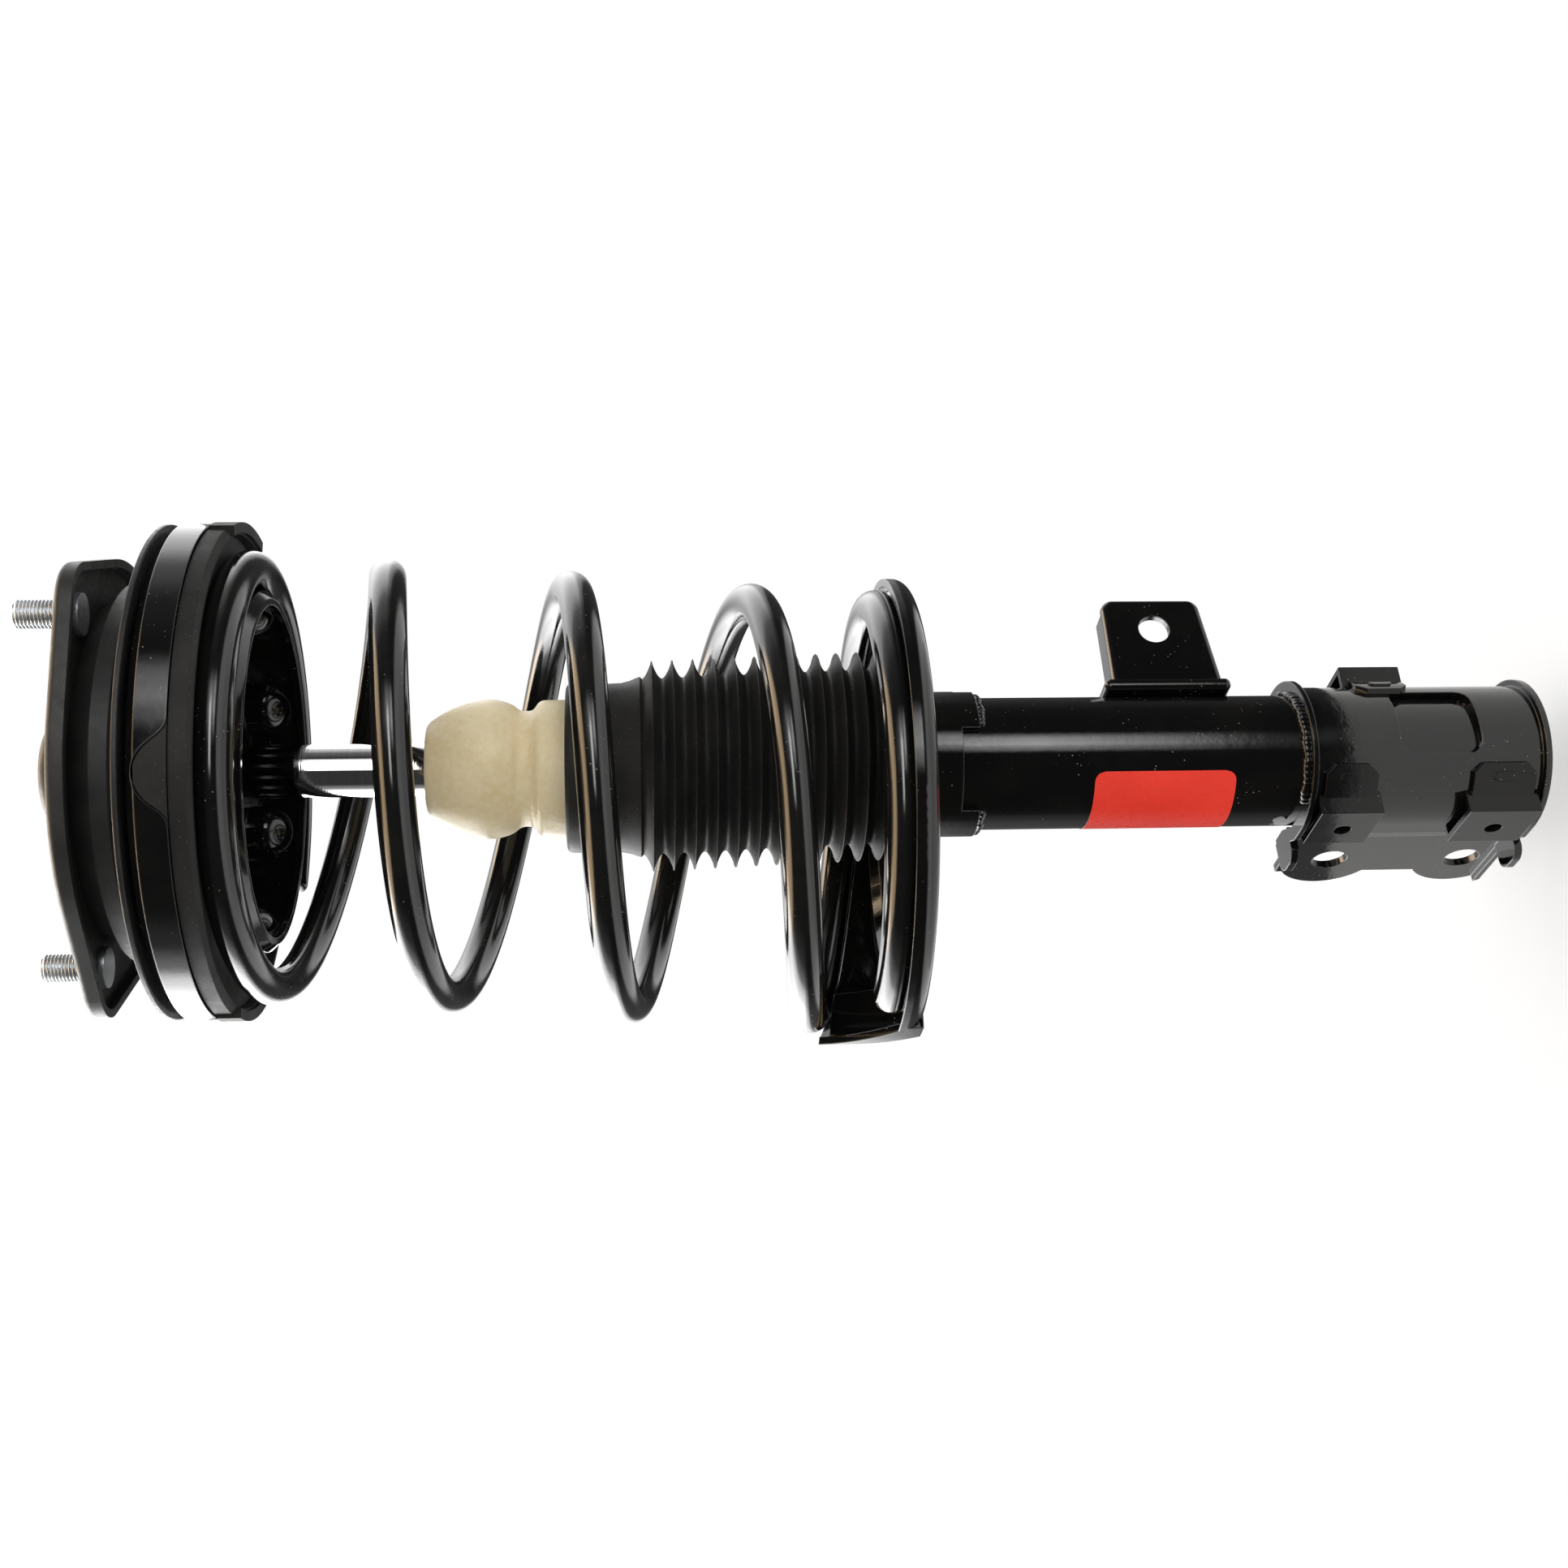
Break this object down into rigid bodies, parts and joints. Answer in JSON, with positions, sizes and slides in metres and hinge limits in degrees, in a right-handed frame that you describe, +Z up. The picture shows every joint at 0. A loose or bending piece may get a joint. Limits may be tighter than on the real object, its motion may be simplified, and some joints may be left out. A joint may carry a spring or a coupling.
{
  "type": "suspension strut assembly",
  "caption": "MacPherson front strut: twin-tube damper with coil spring, swivelling upper seat, three-stud top mount and two-bolt knuckle bracket.",
  "frame": {"origin": "centre of the mount plate's upper face, on the strut axis", "axes": "+Z up the strut towards the car body, +X towards the steering knuckle, knuckle bolts along Y"},
  "size_m": [0.1891, 0.1955, 0.562],
  "materials": {
    "black_paint": "gloss",
    "spring_paint": "semi-gloss powder coat",
    "zinc_steel": "zinc plated",
    "bare_steel": "ground",
    "chrome": "mirror",
    "sintered_iron": "matte",
    "black_rubber": "matte",
    "boot_rubber": "matte",
    "black_plastic": "matte",
    "low_friction_polymer": "matte",
    "ivory_foam": "satin cellular foam",
    "red_label": "satin film"
  },
  "bodies": {
    "top_mount": {"mount_plate": "black_paint", "mount_studs": "zinc_steel", "mount_lower_shell": "black_paint", "mount_rubber": "black_rubber", "mount_inner_sleeve": "bare_steel", "rod_washer": "zinc_steel", "rod_nut": "zinc_steel", "dust_cap": "black_plastic", "bump_cup": "black_paint", "bearing_upper_race": "bare_steel", "dust_shield": "black_plastic", "piston_rod": "chrome", "rebound_cushion": "black_rubber", "rebound_stop": "bare_steel", "piston": "sintered_iron", "piston_band": "low_friction_polymer", "valve_shims": "bare_steel", "piston_nut": "zinc_steel"},
    "bearing_cage": {"bearing_cage": "black_plastic", "bearing_balls": "chrome"},
    "upper_seat": {"bearing_lower_race": "bare_steel", "upper_spring_seat": "black_paint", "seat_hub": "black_paint", "upper_isolator": "black_rubber", "coil_spring": "spring_paint"},
    "strut": {"reserve_tube": "black_paint", "tube_cap": "black_paint", "rod_seal": "black_rubber", "rod_guide": "sintered_iron", "guide_bushing": "low_friction_polymer", "pressure_tube": "bare_steel", "base_valve_body": "sintered_iron", "base_valve_disc": "bare_steel", "base_cup": "black_paint", "jounce_bumper": "ivory_foam", "dust_boot": "boot_rubber", "spring_perch": "black_paint", "perch_collar": "black_paint", "lower_isolator": "black_rubber", "link_bracket": "black_paint", "knuckle_bracket": "black_paint", "upper_hose_bracket": "black_paint", "lower_hose_bracket": "black_paint", "wire_clip": "black_paint", "perch_weld": "black_paint", "knuckle_weld": "black_paint", "tube_label": "red_label"}
  },
  "joints": [
    {"name": "seat_swivel", "type": "hinge", "parent": "top_mount", "child": "upper_seat", "pos_m": [0, 0, 0], "axis": [0, 0, 1], "continuous": true},
    {"name": "cage_turn", "type": "hinge", "parent": "top_mount", "child": "bearing_cage", "pos_m": [0, 0, 0], "axis": [0, 0, 1], "continuous": true},
    {"name": "strut_travel", "type": "slide", "parent": "upper_seat", "child": "strut", "axis": [0, 0, 1], "range_m": [0, 0.125], "stiffness_N_per_m": 25000, "springref_m": -0.05, "deforming": ["coil_spring", "jounce_bumper"]}
  ],
  "couplings": [
    {"joint": "cage_turn", "follows": "seat_swivel", "ratio": 0.5}
  ]
}
